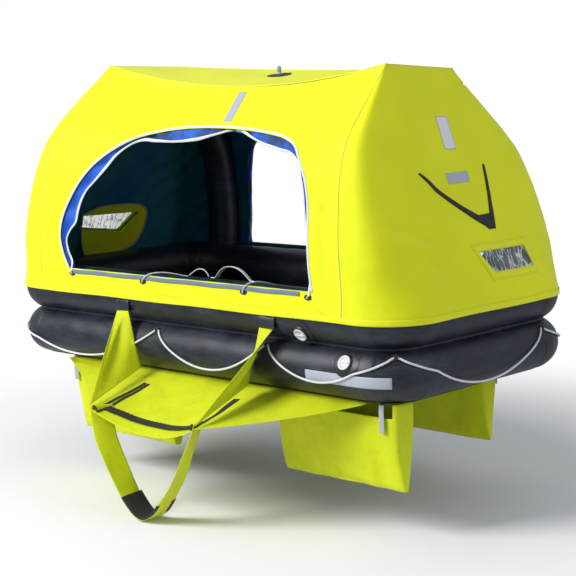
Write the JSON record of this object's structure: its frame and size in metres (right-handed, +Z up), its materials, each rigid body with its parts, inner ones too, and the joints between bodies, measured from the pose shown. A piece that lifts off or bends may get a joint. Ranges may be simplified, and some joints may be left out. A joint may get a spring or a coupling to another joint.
{
  "type": "inflatable liferaft",
  "caption": "Inflated rectangular liferaft with stacked black buoyancy tubes, a yellow arched canopy with doors, a boarding ramp with stirrup, water pockets and a lifeline.",
  "frame": {"origin": "middle of the floor's flat underside, where a stand or cradle would carry the raft", "axes": "+X along the raft, -Y out of the boarding side, +Z up"},
  "size_m": [2.7248, 1.7957, 2.1115],
  "materials": {
    "rubber_black": "satin, scuffed",
    "canopy_yellow": "coated cloth, slight sheen",
    "clear_window": "clear flexible sheet",
    "rope_white": "braided",
    "reflective_tape": "retro-reflective",
    "black_webbing": "woven webbing",
    "label_white": "plain printed cloth, left bare",
    "lamp_grey": "moulded",
    "white_plastic": "moulded",
    "apron_yellow": "thin coated cloth",
    "cylinder_steel": "satin",
    "brass": "machined",
    "bag_orange": "coated cloth"
  },
  "bodies": {
    "raft": {"lower_buoyancy_tube": "rubber_black", "upper_buoyancy_tube": "rubber_black", "floor_panel": "rubber_black", "canopy_left_end": "canopy_yellow", "canopy_right_end": "canopy_yellow", "canopy_front_side": "canopy_yellow", "canopy_back_side": "canopy_yellow", "canopy_roof": "canopy_yellow", "left_window": "clear_window", "right_window": "clear_window", "left_arch_tube": "rubber_black", "right_arch_tube": "rubber_black", "front_door_zip": "rope_white", "back_door_zip": "rope_white", "roof_reflective_tape": "reflective_tape", "left_rain_gutter": "black_webbing", "right_rain_gutter": "black_webbing", "right_end_reflective_tape": "reflective_tape", "data_label": "label_white", "lamp_base": "black_webbing", "roof_lamp": "lamp_grey", "sill_eyelet_1": "black_webbing", "sill_eyelet_2": "black_webbing", "sill_eyelet_3": "black_webbing", "sill_eyelet_4": "black_webbing", "inner_handle": "rope_white", "lifeline": "rope_white", "lifeline_loop_1": "black_webbing", "lifeline_loop_2": "black_webbing", "lifeline_loop_3": "black_webbing", "lifeline_loop_4": "black_webbing", "lifeline_loop_5": "black_webbing", "lifeline_loop_6": "black_webbing", "lifeline_loop_7": "black_webbing", "lifeline_loop_8": "black_webbing", "upper_valve_base": "rubber_black", "lower_valve_base": "rubber_black", "tube_reflective_tape": "reflective_tape", "boarding_ramp": "apron_yellow", "ramp_webbing": "black_webbing", "left_ramp_web": "apron_yellow", "right_ramp_web": "apron_yellow", "left_web_patch": "rubber_black", "right_web_patch": "rubber_black", "boarding_stirrup": "apron_yellow", "stirrup_foot_pad": "black_webbing", "front_right_water_pocket": "apron_yellow", "front_left_water_pocket": "apron_yellow", "back_left_water_pocket": "apron_yellow", "back_right_water_pocket": "apron_yellow", "gas_cylinder": "cylinder_steel", "firing_head": "brass", "left_cylinder_strap": "black_webbing", "right_cylinder_strap": "black_webbing", "inflation_hose": "rubber_black", "inflation_inlet": "rubber_black", "equipment_bag": "bag_orange"},
    "upper_cap": {"upper_valve_cap": "white_plastic"},
    "lower_cap": {"lower_valve_cap": "white_plastic"}
  },
  "joints": [
    {"name": "upper_valve_cap_turn", "type": "hinge", "parent": "raft", "child": "upper_cap", "pos_m": [0.78, -0.66887, 0.289], "axis": [0, -0.8239, -0.5667], "range_deg": [0, 90]},
    {"name": "lower_valve_cap_turn", "type": "hinge", "parent": "raft", "child": "lower_cap", "pos_m": [1.042, -0.67681, 0.181], "axis": [0, -0.8901, 0.4558], "range_deg": [0, 90]}
  ]
}
